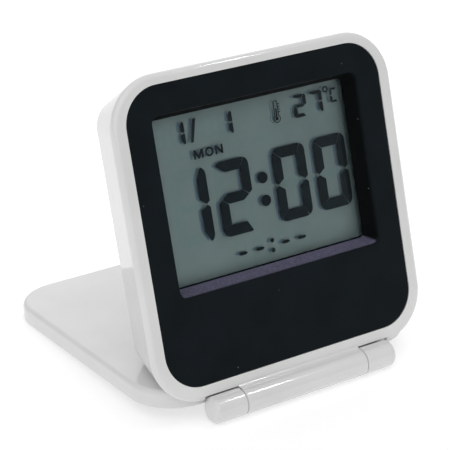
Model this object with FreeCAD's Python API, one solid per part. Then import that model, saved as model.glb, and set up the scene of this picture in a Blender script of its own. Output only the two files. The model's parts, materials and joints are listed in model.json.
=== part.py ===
import FreeCAD, Part
import math
import os

V = FreeCAD.Vector

# Folding travel alarm clock, all sizes in mm.
# Every clock piece is drawn in the clock's own frame: the hinge axis is the X axis,
# a depth d is measured back from the face and a height h up from the bottom of the rim.
# The cover is drawn in its own frame: the hinge axis again, the cover lying flat behind it.

# driving dimensions of the outside
WIDTH = 75.0
HEIGHT = 74.4
DEPTH = 20.0
DRAFT = 0.327
CORNER_R = 12.4
FRONT_EDGE_R = 1.2
REAR_EDGE_R = 2.5
WALL = 1.8
BACK_WALL = 2.2

# hinge: its axis lies this far in front of the face and below the rim
AXIS_FORWARD = 0.42
AXIS_BELOW = 2.53
KNUCKLE_R = 3.2
KNUCKLE_END = 25.57
SEAM_X = 17.0
SEAM_GAP = 0.2
SWING_GAP = 0.3
PIN_R = 1.0
PIN_FIT = 0.05
PIN_IN_COVER = 5.0
PIN_IN_CLOCK = 5.5

# cover, measured from the hinge axis
COVER_FRONT = 3.0
COVER_LENGTH = 76.9
COVER_TOP = 5.0
COVER_UNDER = 0.7
COVER_CORNER_R = 11.7
COVER_EDGE_R = 1.2
COVER_RIM_R = 0.3
COVER_SKIN = 1.9
COVER_WALL = 2.0
LEAN_ON_COVER = 13.0
STOP_GAP = 0.2
FLANGE_GAP = 0.25

# bezel and black front panel
BEZEL_BACK = 2.1
POCKET = 1.2
PANEL_HALF = 34.16
PANEL_BOTTOM = 3.5
PANEL_TOP = 71.9
PANEL_R = 8.7
PANEL_THICK = 1.15
GLUE_GAP = 0.1
LEDGE_HALF = 29.1
LEDGE_BOTTOM = 21.4
LEDGE_TOP = 66.6

# window recess: outer opening at the face, inner opening at the lens
WINDOW_HALF = 27.8
WINDOW_BOTTOM = 23.75
WINDOW_TOP = 65.3
WINDOW_DRAFT = 1.55
WINDOW_DEPTH = 4.4
TUBE_HALF = 29.0
TUBE_BOTTOM = 21.5
TUBE_TOP = 66.5
TUBE_BACK = 7.2
STACK_HALF = 28.2
STACK_BOTTOM = 22.6
STACK_TOP = 65.0
STACK_GAP = 0.1
REAR_GLASS_BOTTOM = 24.7

# thickness of each layer of the display, front to back
LENS_THICK = 0.8
FILM_THICK = 0.15
GLASS_THICK = 0.7
CRYSTAL_LAYER = 0.1
REFLECTOR_THICK = 0.2

# board
BOARD_FRONT = 8.6
BOARD_THICK = 1.2
BOARD_HALF = 32.4
BOARD_BOTTOM = 21.6
BOARD_TOP = 67.2
BOARD_CORNER_R = 5.0
BOARD_POST_X = 30.9
BOARD_POST_H = (31.0, 60.0)
BOARD_BACK = BOARD_FRONT + BOARD_THICK

# case screws
CASE_POST_X = 28.0
CASE_POST_H = 15.0
CASE_JOINT = 10.0

# battery and its compartment
CELL_R = 5.25
CELL_LENGTH = 44.5
CELL_D = 12.9
CELL_H = 14.6
BAY_HALF = 24.0
BAY_BOTTOM = 8.9
BAY_TOP = 20.1
BAY_FRONT = 7.2
BAY_WALL = 1.1
DOOR_LEFT = -24.6
DOOR_BOTTOM = 8.8
DOOR_TOP = 21.0
DOOR_FLOOR = 18.8
DOOR_GAP = 0.15

# rear controls
BUTTON_X = (-18.0, -6.0, 6.0, 18.0)
BUTTON_H = 55.0
BUTTON_R = 3.2
BUTTON_NAMES = ("mode_button", "set_button", "up_button", "down_button")
SLIDER_X = 13.0
SLIDER_H = 40.0
SLIDER_TRAVEL = 3.0
SWITCH_HEIGHT = 3.6

# buzzer
BUZZER_X = -12.0
BUZZER_H = 36.0
BUZZER_R = 10.0

# places worked out from the sizes above
SLANT = math.hypot(1.0, DRAFT)
SPREAD = FRONT_EDGE_R * (DRAFT + SLANT - 1.0)
HALF = WIDTH / 2
TILT = math.degrees(
    math.asin((KNUCKLE_R - COVER_RIM_R) / math.hypot(COVER_LENGTH - COVER_RIM_R, COVER_UNDER + COVER_RIM_R))
    + math.atan2(COVER_UNDER + COVER_RIM_R, COVER_LENGTH - COVER_RIM_R)
)
LEAN = TILT + LEAN_ON_COVER
BACK_REACH = (
    (COVER_LENGTH - COVER_EDGE_R) * math.cos(math.radians(TILT))
    + (COVER_TOP - COVER_EDGE_R) * math.sin(math.radians(TILT))
    + COVER_EDGE_R
)
HINGE_Y = (KNUCKLE_R - BACK_REACH) / 2
HINGE_Z = KNUCKLE_R
X_AXIS = V(1, 0, 0)
BACKWARD = V(0, 1, 0)


# ---- helpers in the clock's frame ----

def spot(x, d, h):
    return V(x, AXIS_FORWARD + d, AXIS_BELOW + h)


def outline(half, bottom, top, radius, d, x=0.0):
    """Closed rounded rectangle facing the front, at depth d."""
    k = radius * (1 - math.sqrt(0.5))
    left = x - half
    right = x + half
    corners = [
        ((right, top - radius), (right - k, top - k), (right - radius, top)),
        ((left + radius, top), (left + k, top - k), (left, top - radius)),
        ((left, bottom + radius), (left + k, bottom + k), (left + radius, bottom)),
        ((right - radius, bottom), (right - k, bottom + k), (right, bottom + radius)),
    ]
    edges = []
    for i, corner in enumerate(corners):
        start, middle, end = [spot(px, d, ph) for px, ph in corner]
        following = spot(corners[(i + 1) % 4][0][0], d, corners[(i + 1) % 4][0][1])
        edges.append(Part.Arc(start, middle, end).toShape())
        edges.append(Part.makeLine(end, following))
    return Part.Wire(edges)


def slab(half, bottom, top, radius, d0, d1, x=0.0):
    """Plate with rounded corners between two depths."""
    return Part.Face(outline(half, bottom, top, radius, d0, x)).extrude(V(0, d1 - d0, 0))


def drafted(d0, d1, inset=0.0):
    """The clock's outside between two depths, or its inside when inset is a wall."""
    wires = []
    for d in (d0, d1):
        pull = DRAFT * d - SPREAD + inset * SLANT
        wires.append(outline(HALF - pull, pull, HEIGHT - pull, CORNER_R - DRAFT * d - inset, d))
    return Part.makeLoft(wires, True, True)


def block(x0, x1, d0, d1, h0, h1):
    return Part.makeBox(x1 - x0, d1 - d0, h1 - h0, spot(x0, d0, h0))


def rod(x, h, radius, d0, d1):
    """Round piece along the depth."""
    return Part.makeCylinder(radius, d1 - d0, spot(x, d0, h), BACKWARD)


def tube(x, h, outer, inner, d0, d1):
    return rod(x, h, outer, d0, d1).cut(rod(x, h, inner, d0, d1))


def barrel(x0, x1, radius):
    """Round piece about the hinge axis."""
    return Part.makeCylinder(radius, x1 - x0, V(x0, 0, 0), X_AXIS)


def edges_at_depth(shape, d):
    y = AXIS_FORWARD + d
    return [e for e in shape.Edges if abs(e.BoundBox.YMin - y) < 1e-3 and abs(e.BoundBox.YMax - y) < 1e-3]


def below_cover_top(front, top):
    """Space of the open cover, as the leaning clock sees it."""
    space = Part.makeBox(200, 200, 100 + top, V(-100, front, -100))
    space.rotate(V(0, 0, 0), X_AXIS, LEAN_ON_COVER)
    return space


# ---- clock housing ----

def hinge_knuckle():
    """Long middle knuckle of the bezel, with the concave blend up to the face."""
    half = SEAM_X - SEAM_GAP / 2
    blend_r = 0.8
    centre_y = AXIS_FORWARD - blend_r
    centre_z = math.sqrt((KNUCKLE_R + blend_r) ** 2 - centre_y ** 2)
    web = Part.makeBox(2 * half, 1.9 - centre_y, centre_z, V(-half, centre_y, 0))
    web = web.cut(Part.makeCylinder(blend_r, 2 * half, V(-half, centre_y, centre_z), X_AXIS))
    return barrel(-half, half, KNUCKLE_R).fuse(web)


def front_bezel():
    ring = drafted(0, BEZEL_BACK)
    ring = ring.makeFillet(FRONT_EDGE_R, edges_at_depth(ring, 0))
    pocket = slab(PANEL_HALF + GLUE_GAP, PANEL_BOTTOM - GLUE_GAP, PANEL_TOP + GLUE_GAP,
                  PANEL_R + GLUE_GAP, -1, POCKET)
    opening = slab(LEDGE_HALF, LEDGE_BOTTOM, LEDGE_TOP, 1.5, 0, BEZEL_BACK + 1)
    ring = ring.cut(pocket).cut(opening)
    for side in (-1, 1):
        middle = side * (SEAM_X + KNUCKLE_END) / 2
        half = (KNUCKLE_END - SEAM_X) / 2 + SWING_GAP
        ring = ring.cut(barrel(middle - half, middle + half, KNUCKLE_R + SWING_GAP))
    ring = ring.fuse(hinge_knuckle())
    ring = ring.cut(below_cover_top(COVER_FRONT - FLANGE_GAP, COVER_TOP + STOP_GAP)
                    .cut(barrel(-SEAM_X, SEAM_X, KNUCKLE_R)))
    for side in (-1, 1):
        mouth = side * (SEAM_X - SEAM_GAP / 2)
        depth = PIN_IN_CLOCK + 0.5
        ring = ring.cut(barrel(min(mouth, mouth - side * depth), max(mouth, mouth - side * depth), PIN_R + PIN_FIT))
        for h in BOARD_POST_H:
            post = tube(side * BOARD_POST_X, h, 1.7, 0.82, BEZEL_BACK - 0.2, BOARD_FRONT)
            ring = ring.fuse(post)
        boss = tube(side * CASE_POST_X, CASE_POST_H, 2.3, 1.02, BEZEL_BACK - 0.2, CASE_JOINT)
        ring = ring.fuse(boss)
    return ring.removeSplitter()


def front_panel():
    plate = slab(PANEL_HALF, PANEL_BOTTOM, PANEL_TOP, PANEL_R, 0, PANEL_THICK)
    plate = plate.makeFillet(0.3, edges_at_depth(plate, 0))
    shroud = slab(TUBE_HALF, TUBE_BOTTOM, TUBE_TOP, 1.4, PANEL_THICK - 0.1, TUBE_BACK)
    recess = Part.makeLoft([
        outline(WINDOW_HALF, WINDOW_BOTTOM, WINDOW_TOP, 1.8, 0),
        outline(WINDOW_HALF - WINDOW_DRAFT, WINDOW_BOTTOM + WINDOW_DRAFT, WINDOW_TOP - WINDOW_DRAFT,
                1.2, WINDOW_DEPTH),
    ], True, True)
    pocket = slab(STACK_HALF + STACK_GAP, STACK_BOTTOM - STACK_GAP, STACK_TOP + STACK_GAP, 0.6,
                  WINDOW_DEPTH, TUBE_BACK + 1)
    body = plate.fuse(shroud).cut(recess).cut(pocket)
    rim = [e for e in edges_at_depth(body, 0) if abs(e.BoundBox.Center.x) <= WINDOW_HALF
           and e.BoundBox.ZMin >= AXIS_BELOW + WINDOW_BOTTOM - 0.01
           and e.BoundBox.ZMax <= AXIS_BELOW + WINDOW_TOP + 0.01]
    return body.makeFillet(0.35, rim).removeSplitter()


def button_hole(x):
    return rod(x, BUTTON_H, BUTTON_R + 0.15, DEPTH - BACK_WALL - 1, DEPTH + 1)


def rear_case():
    outside = drafted(BEZEL_BACK + 0.1, DEPTH)
    outside = outside.makeFillet(REAR_EDGE_R, edges_at_depth(outside, DEPTH))
    outside = outside.cut(below_cover_top(-50, COVER_TOP + STOP_GAP))
    back = DEPTH - BACK_WALL
    cavity = drafted(0, back, WALL).cut(below_cover_top(-50, COVER_TOP + STOP_GAP + WALL))
    bay = block(-BAY_HALF - BAY_WALL, BAY_HALF + BAY_WALL, BAY_FRONT - BAY_WALL, back + 0.2,
                BAY_BOTTOM - 6, BAY_TOP + BAY_WALL)
    bay = bay.cut(below_cover_top(-50, COVER_TOP + STOP_GAP + 0.2))
    shell = outside.cut(cavity).fuse(bay)
    for side in (-1, 1):
        shell = shell.fuse(rod(side * CASE_POST_X, CASE_POST_H, 2.9, CASE_JOINT + 0.1, back + 0.1).common(outside))
    shell = shell.fuse(tube(BUZZER_X, BUZZER_H, BUZZER_R + 0.4, BUZZER_R - 1.2, 16.8, back + 0.1))
    shell = shell.cut(block(-BAY_HALF, BAY_HALF, BAY_FRONT, DOOR_FLOOR + 0.1, BAY_BOTTOM, BAY_TOP))
    shell = shell.cut(block(DOOR_LEFT, WIDTH, DOOR_FLOOR, DEPTH + 1, DOOR_BOTTOM, DOOR_TOP))
    for side in (-1, 1):
        tab = side * (BAY_HALF - 0.25)
        shell = shell.cut(block(tab - 0.3, tab + 0.3, 9.8, 12.7, BAY_TOP - 1, BAY_TOP + BAY_WALL + 1))
        shell = shell.cut(rod(side * CASE_POST_X, CASE_POST_H, 1.15, CASE_JOINT - 1, DEPTH))
        shell = shell.cut(rod(side * CASE_POST_X, CASE_POST_H, 2.2, 13.0, DEPTH + 1))
    for x in BUTTON_X:
        shell = shell.cut(button_hole(x))
    slot = SLIDER_TRAVEL / 2 + 2.2
    shell = shell.cut(block(SLIDER_X - slot, SLIDER_X + slot, back - 1, DEPTH + 1, SLIDER_H - 1.6, SLIDER_H + 1.6))
    shell = shell.cut(rod(BUZZER_X, BUZZER_H, 0.7, back - 1, DEPTH + 1))
    for i in range(6):
        a = math.radians(60 * i)
        hole = rod(BUZZER_X + 4 * math.cos(a), BUZZER_H + 4 * math.sin(a), 0.7, back - 1, DEPTH + 1)
        shell = shell.cut(hole)
    return shell.removeSplitter()


def battery_door():
    """Slides off sideways; its right end follows the rounded corner of the case."""
    outside = drafted(BEZEL_BACK, DEPTH)
    outside = outside.makeFillet(REAR_EDGE_R, edges_at_depth(outside, DEPTH))
    door = outside.common(block(DOOR_LEFT + DOOR_GAP, WIDTH, DOOR_FLOOR + 0.1, DEPTH + 1,
                                DOOR_BOTTOM + DOOR_GAP, DOOR_TOP - DOOR_GAP))
    for i in range(5):
        x = 13.0 + 1.6 * i
        groove = block(x, x + 0.7, DEPTH - 0.35, DEPTH + 1, CELL_H - 3.2, CELL_H + 3.2)
        door = door.cut(groove)
    return door.removeSplitter()


# ---- screws ----

def screw(x, h, head_r, head_h, shank_r, seat, tip):
    """Pan head screw from the back: the head sits at depth seat, the tip reaches depth tip."""
    head = rod(x, h, head_r, seat, seat + head_h)
    head = head.makeFillet(head_h * 0.45, edges_at_depth(head, seat + head_h))
    cross = block(x - head_r * 0.6, x + head_r * 0.6, seat + head_h * 0.5, seat + head_h + 1, h - 0.2, h + 0.2)
    cross = cross.fuse(block(x - 0.2, x + 0.2, seat + head_h * 0.5, seat + head_h + 1,
                             h - head_r * 0.6, h + head_r * 0.6))
    shank = rod(x, h, shank_r, tip, seat + 0.1)
    return head.fuse(shank).cut(cross).removeSplitter()


def case_screws():
    return [screw(s * CASE_POST_X, CASE_POST_H, 1.9, 1.4, 1.0, 13.0, 4.0) for s in (-1, 1)]


def board_screws():
    return [screw(s * BOARD_POST_X, h, 1.5, 0.9, 0.8, BOARD_BACK, 4.0) for s in (-1, 1) for h in BOARD_POST_H]


# ---- display stack ----

def layer(d0, d1, bottom=STACK_BOTTOM):
    return slab(STACK_HALF, bottom, STACK_TOP, 0.5, d0, d1)


def display():
    """Layers from the lens back, as name and shape."""
    stack = [
        ("window_lens", LENS_THICK, STACK_BOTTOM),
        ("lcd_front_polarizer", FILM_THICK, REAR_GLASS_BOTTOM),
        ("lcd_front_glass", GLASS_THICK, STACK_BOTTOM),
        ("lcd_segment_layer", CRYSTAL_LAYER, REAR_GLASS_BOTTOM),
        ("lcd_rear_glass", GLASS_THICK, REAR_GLASS_BOTTOM),
        ("lcd_reflector", REFLECTOR_THICK, REAR_GLASS_BOTTOM),
    ]
    d = WINDOW_DEPTH
    pieces = []
    for name, thick, bottom in stack:
        pieces.append((name, layer(d, d + thick, bottom)))
        d += thick
    return pieces


def zebra_strip():
    front = WINDOW_DEPTH + LENS_THICK + FILM_THICK + GLASS_THICK
    return block(-25.0, 25.0, front, BOARD_FRONT, STACK_BOTTOM + 0.2, REAR_GLASS_BOTTOM - 0.2)


# ---- board and what is on it ----

def main_board():
    board = slab(BOARD_HALF, BOARD_BOTTOM, BOARD_TOP, BOARD_CORNER_R, BOARD_FRONT, BOARD_BACK)
    for side in (-1, 1):
        for h in BOARD_POST_H:
            board = board.cut(rod(side * BOARD_POST_X, h, 0.95, BOARD_FRONT - 1, BOARD_BACK + 1))
    return board


def controller_chip():
    """Chip under a flat dome of black resin."""
    ball_r = 10.0
    rise = 1.4
    ball = Part.makeSphere(ball_r, spot(2.0, BOARD_BACK + rise - ball_r, 43.0))
    return ball.common(rod(2.0, 43.0, 8.0, BOARD_BACK, BOARD_BACK + 3))


def clock_crystal():
    can = Part.makeCylinder(1.0, 6.0, spot(-3.0, BOARD_BACK + 1.05, 31.0), X_AXIS)
    legs = block(3.0, 5.0, BOARD_BACK, BOARD_BACK + 1.15, 30.55, 30.8)
    legs = legs.fuse(block(3.0, 5.0, BOARD_BACK, BOARD_BACK + 1.15, 31.2, 31.45))
    return can.fuse(legs)


def capacitors():
    places = [(12.0, 31.0), (15.0, 31.0), (24.5, 40.0), (-1.5, 52.0)]
    return [block(x - 1.0, x + 1.0, BOARD_BACK, BOARD_BACK + 0.9, h - 0.6, h + 0.6) for x, h in places]


def resistors():
    places = [(-24.0, 44.0), (-24.0, 46.5), (-24.0, 49.0), (12.0, 48.5), (15.5, 48.5), (19.0, 48.5)]
    return [block(x - 0.8, x + 0.8, BOARD_BACK, BOARD_BACK + 0.5, h - 0.4, h + 0.4) for x, h in places]


def thermistor():
    bead = Part.makeSphere(1.1, spot(27.0, BOARD_BACK + 3.0, 33.0))
    for x in (26.6, 27.4):
        bead = bead.fuse(rod(x, 33.0, 0.2, BOARD_BACK, BOARD_BACK + 3.0))
    return bead


def switch_bases():
    """Push switches soldered under the rear buttons."""
    bases = []
    for x in BUTTON_X:
        body = block(x - 3.0, x + 3.0, BOARD_BACK, BOARD_BACK + SWITCH_HEIGHT, BUTTON_H - 3.0, BUTTON_H + 3.0)
        bases.append(body.cut(rod(x, BUTTON_H, 1.8, BOARD_BACK + 1.4, BOARD_BACK + SWITCH_HEIGHT + 1)))
    return bases


def slide_switch_body():
    top = BOARD_BACK + SWITCH_HEIGHT
    body = block(SLIDER_X - 4.4, SLIDER_X + 4.4, BOARD_BACK, top, SLIDER_H - 1.8, SLIDER_H + 1.8)
    reach = SLIDER_TRAVEL / 2 + 1.2
    return body.cut(block(SLIDER_X - reach, SLIDER_X + reach, top - 1.6, top + 1, SLIDER_H - 0.9, SLIDER_H + 0.9))


# ---- battery ----

def cell_rod(x0, x1, radius):
    return Part.makeCylinder(radius, x1 - x0, spot(x0, CELL_D, CELL_H), X_AXIS)


def battery():
    tip = BAY_HALF - 0.45
    shoulder = tip - 0.9
    can = cell_rod(tip - CELL_LENGTH, shoulder, CELL_R)
    round_edges = [e for e in can.Edges if isinstance(e.Curve, Part.Circle)]
    can = can.makeFillet(0.4, round_edges)
    return can.fuse(cell_rod(shoulder - 0.1, tip, 1.9))


def contact_plate(side):
    """Nickel plated strip at one end of the bay, with a tab up to the board."""
    x = side * BAY_HALF
    x0 = min(x, x - side * 0.4)
    plate = block(x0, x0 + 0.4, 8.6, 17.0, 9.8, 19.4)
    tab = block(x0, x0 + 0.4, BOARD_BACK + 0.05, 12.5, 19.0, 27.0)
    return plate.fuse(tab).removeSplitter()


def battery_spring():
    """Conical coil between the left contact and the flat end of the cell."""
    start = -BAY_HALF + 0.4 + 0.35
    end = BAY_HALF - 0.45 - CELL_LENGTH - 0.35
    wide = 3.4
    narrow = 2.2
    turns = 2.5
    steps = 40
    points = []
    for i in range(steps + 1):
        t = i / steps
        a = 2 * math.pi * turns * t
        r = wide + (narrow - wide) * t
        points.append(spot(start + (end - start) * t, CELL_D + r * math.cos(a), CELL_H + r * math.sin(a)))
    curve = Part.BSplineCurve()
    curve.interpolate(points)
    path = Part.Wire([curve.toShape()])
    ring = Part.Wire([Part.Circle(points[0], curve.tangent(curve.FirstParameter)[0], 0.3).toShape()])
    return path.makePipeShell([ring], True, True)


# ---- buzzer ----

def buzzer_disc():
    return rod(BUZZER_X, BUZZER_H, BUZZER_R, 16.55, 16.8)


def buzzer_ceramic():
    return rod(BUZZER_X, BUZZER_H, 7.0, 16.3, 16.55)


def buzzer_springs():
    """Two coils from the board to the buzzer, drawn as stacks of close rings."""
    stacks = []
    for x, end in ((BUZZER_X, 16.3), (BUZZER_X + 8.6, 16.55)):
        stacks.append(tube(x, BUZZER_H, 1.1, 0.7, BOARD_BACK, end))
    return stacks


# ---- rear controls that move ----

def push_button(x):
    """Domed cap with a stem down to the switch plunger and a collar behind the wall."""
    back = DEPTH - BACK_WALL
    cap = rod(x, BUTTON_H, BUTTON_R, back - 0.6, DEPTH + 1.0)
    cap = cap.makeFillet(0.5, edges_at_depth(cap, DEPTH + 1.0))
    collar = rod(x, BUTTON_H, BUTTON_R + 0.7, back - 0.9, back - 0.1)
    stem = rod(x, BUTTON_H, 1.3, BOARD_BACK + SWITCH_HEIGHT + 1.0, back - 0.5)
    return cap.fuse(collar).fuse(stem).removeSplitter()


def switch_plunger(x):
    top = BOARD_BACK + SWITCH_HEIGHT
    return rod(x, BUTTON_H, 1.7, top - 1.2, top + 1.0)


def alarm_slider():
    """Thumb piece through the slot, on a plate that slides behind the wall."""
    back = DEPTH - BACK_WALL
    x = SLIDER_X - SLIDER_TRAVEL / 2
    thumb = block(x - 2.0, x + 2.0, back - 0.5, DEPTH + 0.9, SLIDER_H - 1.4, SLIDER_H + 1.4)
    for i in range(3):
        cut = x - 1.1 + 0.9 * i
        thumb = thumb.cut(block(cut, cut + 0.4, DEPTH + 0.5, DEPTH + 2, SLIDER_H - 2, SLIDER_H + 2))
    plate = block(x - 4.4, x + 4.4, back - 1.1, back - 0.1, SLIDER_H - 2.6, SLIDER_H + 2.6)
    fork = block(x - 1.6, x + 1.6, back - 3.2, back - 1.0, SLIDER_H - 1.3, SLIDER_H + 1.3)
    fork = fork.cut(block(x - 0.85, x + 0.85, back - 4, back - 1.3, SLIDER_H - 2, SLIDER_H + 2))
    return thumb.fuse(plate).fuse(fork).removeSplitter()


def alarm_switch_lever():
    x = SLIDER_X - SLIDER_TRAVEL / 2
    top = BOARD_BACK + SWITCH_HEIGHT
    return block(x - 0.8, x + 0.8, top - 1.4, DEPTH - BACK_WALL - 1.5, SLIDER_H - 0.8, SLIDER_H + 0.8)


# ---- cover, in its own frame ----

def cover_outline(half, front, back, radius, z):
    """Rounded rectangle lying flat at height z, between two distances behind the axis."""
    k = radius * (1 - math.sqrt(0.5))
    corners = [
        ((half, back - radius), (half - k, back - k), (half - radius, back)),
        ((-half + radius, back), (-half + k, back - k), (-half, back - radius)),
        ((-half, front + radius), (-half + k, front + k), (-half + radius, front)),
        ((half - radius, front), (half - k, front + k), (half, front + radius)),
    ]
    edges = []
    for i, corner in enumerate(corners):
        start, middle, end = [V(px, py, z) for px, py in corner]
        following = V(corners[(i + 1) % 4][0][0], corners[(i + 1) % 4][0][1], z)
        edges.append(Part.Arc(start, middle, end).toShape())
        edges.append(Part.makeLine(end, following))
    return Part.Wire(edges)


def edges_at_height(shape, z):
    return [e for e in shape.Edges if abs(e.BoundBox.ZMin - z) < 1e-3 and abs(e.BoundBox.ZMax - z) < 1e-3]


def end_knuckle(side):
    """Short knuckle with a rounded outer end, and the web that joins it to the cover."""
    inner = SEAM_X + SEAM_GAP / 2
    length = KNUCKLE_END - inner
    start = inner if side > 0 else -KNUCKLE_END
    knuckle = barrel(start, start + length, KNUCKLE_R)
    end_x = side * KNUCKLE_END
    rim = [e for e in knuckle.Edges if abs(e.BoundBox.XMin - end_x) < 1e-3 and abs(e.BoundBox.XMax - end_x) < 1e-3]
    knuckle = knuckle.makeFillet(1.4, rim)
    web_start = start if side > 0 else start + 1.4
    web = Part.makeBox(length - 1.4, COVER_FRONT + 0.3, 2.8, V(web_start, 0, -0.8))
    return knuckle.fuse(web)


def stand_cover():
    skin = Part.Face(cover_outline(HALF, COVER_FRONT, COVER_LENGTH, COVER_CORNER_R, COVER_UNDER))
    skin = skin.extrude(V(0, 0, COVER_TOP - COVER_UNDER))
    skin = skin.makeFillet(COVER_EDGE_R, edges_at_height(skin, COVER_TOP))
    dish = Part.Face(cover_outline(HALF - COVER_WALL, COVER_FRONT + COVER_WALL, COVER_LENGTH - COVER_WALL,
                                   COVER_CORNER_R - COVER_WALL, COVER_UNDER - 1))
    dish = dish.extrude(V(0, 0, COVER_TOP - COVER_SKIN - COVER_UNDER + 1))
    skin = skin.cut(dish)
    skin = skin.makeFillet(COVER_RIM_R, edges_at_height(skin, COVER_UNDER))
    inner = SEAM_X + SEAM_GAP / 2
    skin = skin.cut(barrel(-inner, inner, KNUCKLE_R + SWING_GAP))
    for side in (-1, 1):
        skin = skin.fuse(end_knuckle(side))
    for side in (-1, 1):
        start = side * inner
        end = start + side * (PIN_IN_COVER + 0.3)
        skin = skin.cut(barrel(min(start, end), max(start, end), PIN_R))
    return skin.removeSplitter()


def hinge_pins():
    """Short steel pins held in the end knuckles, turning in the middle one."""
    pins = []
    for side in (-1, 1):
        outer = side * (SEAM_X + SEAM_GAP / 2 + PIN_IN_COVER)
        inner = side * (SEAM_X - SEAM_GAP / 2 - PIN_IN_CLOCK)
        pins.append(barrel(min(outer, inner), max(outer, inner), PIN_R))
    return pins


# ---- placing and writing ----

def place(shape, angle):
    shape.rotate(V(0, 0, 0), X_AXIS, -angle)
    shape.translate(V(0, HINGE_Y, HINGE_Z))
    return shape


def write(name, shape, angle):
    if isinstance(shape, list):
        shape = Part.makeCompound(shape)
    placed = place(shape.copy(), angle)
    placed.exportStep("parts/" + name + ".step")
    box = placed.BoundBox
    print("%-22s solids %d valid %s volume %9.2f box %7.2f %7.2f %7.2f to %7.2f %7.2f %7.2f" % (
        name, len(placed.Solids), placed.isValid(), placed.Volume,
        box.XMin, box.YMin, box.ZMin, box.XMax, box.YMax, box.ZMax))


def main():
    os.makedirs("parts", exist_ok=True)
    clock = [
        ("front_bezel", front_bezel()),
        ("front_panel", front_panel()),
        ("rear_case", rear_case()),
        ("case_screws", case_screws()),
        ("board_screws", board_screws()),
        ("zebra_strip", zebra_strip()),
        ("main_board", main_board()),
        ("controller_chip", controller_chip()),
        ("clock_crystal", clock_crystal()),
        ("capacitors", capacitors()),
        ("resistors", resistors()),
        ("thermistor", thermistor()),
        ("switch_bases", switch_bases()),
        ("slide_switch_body", slide_switch_body()),
        ("battery", battery()),
        ("positive_contact", contact_plate(1)),
        ("negative_contact", contact_plate(-1)),
        ("battery_spring", battery_spring()),
        ("buzzer_disc", buzzer_disc()),
        ("buzzer_ceramic", buzzer_ceramic()),
        ("buzzer_springs", buzzer_springs()),
        ("battery_door", battery_door()),
        ("alarm_slider", alarm_slider()),
        ("alarm_switch_lever", alarm_switch_lever()),
    ]
    clock += display()
    for name, x in zip(BUTTON_NAMES, BUTTON_X):
        clock.append((name, push_button(x)))
        clock.append((name.replace("button", "plunger"), switch_plunger(x)))
    for name, shape in clock:
        write(name, shape, LEAN)
    write("stand_cover", stand_cover(), TILT)
    write("hinge_pins", hinge_pins(), TILT)
    print("tilt %.4f lean %.4f hinge axis at y %.4f z %.4f" % (TILT, LEAN, HINGE_Y, HINGE_Z))


main()
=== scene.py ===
import bmesh
import bpy
import json
import math
from mathutils import Matrix, Vector


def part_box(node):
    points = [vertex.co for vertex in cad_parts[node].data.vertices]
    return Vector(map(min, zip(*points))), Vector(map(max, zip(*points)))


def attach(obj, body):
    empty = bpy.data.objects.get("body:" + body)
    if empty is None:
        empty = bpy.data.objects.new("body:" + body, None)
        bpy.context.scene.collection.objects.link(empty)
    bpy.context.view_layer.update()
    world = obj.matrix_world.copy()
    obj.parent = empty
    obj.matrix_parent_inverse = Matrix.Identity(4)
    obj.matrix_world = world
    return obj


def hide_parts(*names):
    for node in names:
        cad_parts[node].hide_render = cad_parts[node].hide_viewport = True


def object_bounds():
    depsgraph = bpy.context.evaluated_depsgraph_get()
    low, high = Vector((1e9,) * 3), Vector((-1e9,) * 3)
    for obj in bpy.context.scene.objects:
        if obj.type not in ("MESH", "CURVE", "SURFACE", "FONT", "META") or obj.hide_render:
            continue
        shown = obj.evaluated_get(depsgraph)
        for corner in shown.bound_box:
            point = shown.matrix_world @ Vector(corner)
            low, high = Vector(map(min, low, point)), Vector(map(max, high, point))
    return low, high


# Folding travel alarm clock with a liquid crystal display, standing on its open cover.
# Sizes in the dictionaries are millimetres and angles are degrees unless a comment says otherwise.

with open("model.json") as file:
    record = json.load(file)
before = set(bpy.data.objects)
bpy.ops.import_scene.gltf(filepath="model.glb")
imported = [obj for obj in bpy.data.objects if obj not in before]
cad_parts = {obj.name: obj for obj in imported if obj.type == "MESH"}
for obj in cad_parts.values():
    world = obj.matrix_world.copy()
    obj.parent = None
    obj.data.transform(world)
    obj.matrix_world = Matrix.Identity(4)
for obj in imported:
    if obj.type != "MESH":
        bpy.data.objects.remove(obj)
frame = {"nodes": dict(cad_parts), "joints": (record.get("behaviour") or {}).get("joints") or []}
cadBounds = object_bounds()
nodes = frame["nodes"]
scene = bpy.context.scene
mm = 0.001

# the clock leans back, so what is drawn on it uses its own axes: across, back into it, and up its face
jointOf = {joint["name"]: joint for joint in frame["joints"]}
hinge = Vector(jointOf["cover_hinge"]["pos_m"])
across = Vector((1, 0, 0))
back = -Vector(jointOf["mode_button_press"]["axis"]).normalized()
up = across.cross(back)
print("frame loaded,", len(nodes), "nodes")


def clockBox(name):
    # lowest and highest corner of a node along the clock's own axes, from the hinge, in metres
    spots = [v.co - hinge for v in nodes[name].data.vertices]
    rows = [(across.dot(spot), back.dot(spot), up.dot(spot)) for spot in spots]
    low = Vector([min(row[i] for row in rows) for i in range(3)])
    high = Vector([max(row[i] for row in rows) for i in range(3)])
    return low, high


def clockPlace(depth, height):
    # matrix from a flat drawing in mm, x across and y up and z to the viewer, to a place on the clock
    turn = Matrix((across, up, -back)).transposed().to_4x4()
    spot = hinge + back * depth + up * height
    return Matrix.Translation(spot) @ turn @ Matrix.Scale(mm, 4)


def clockTurnBack():
    # from the clock's own axes, in metres from the hinge, to the frame
    return Matrix.Translation(hinge) @ Matrix((across, back, up)).transposed().to_4x4()


# helpers for materials

def linearColour(hexText):
    channels = [int(hexText[i:i + 2], 16) / 255 for i in (1, 3, 5)]
    linear = [c / 12.92 if c <= 0.04045 else ((c + 0.055) / 1.055) ** 2.4 for c in channels]
    return (*linear, 1)


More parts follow.
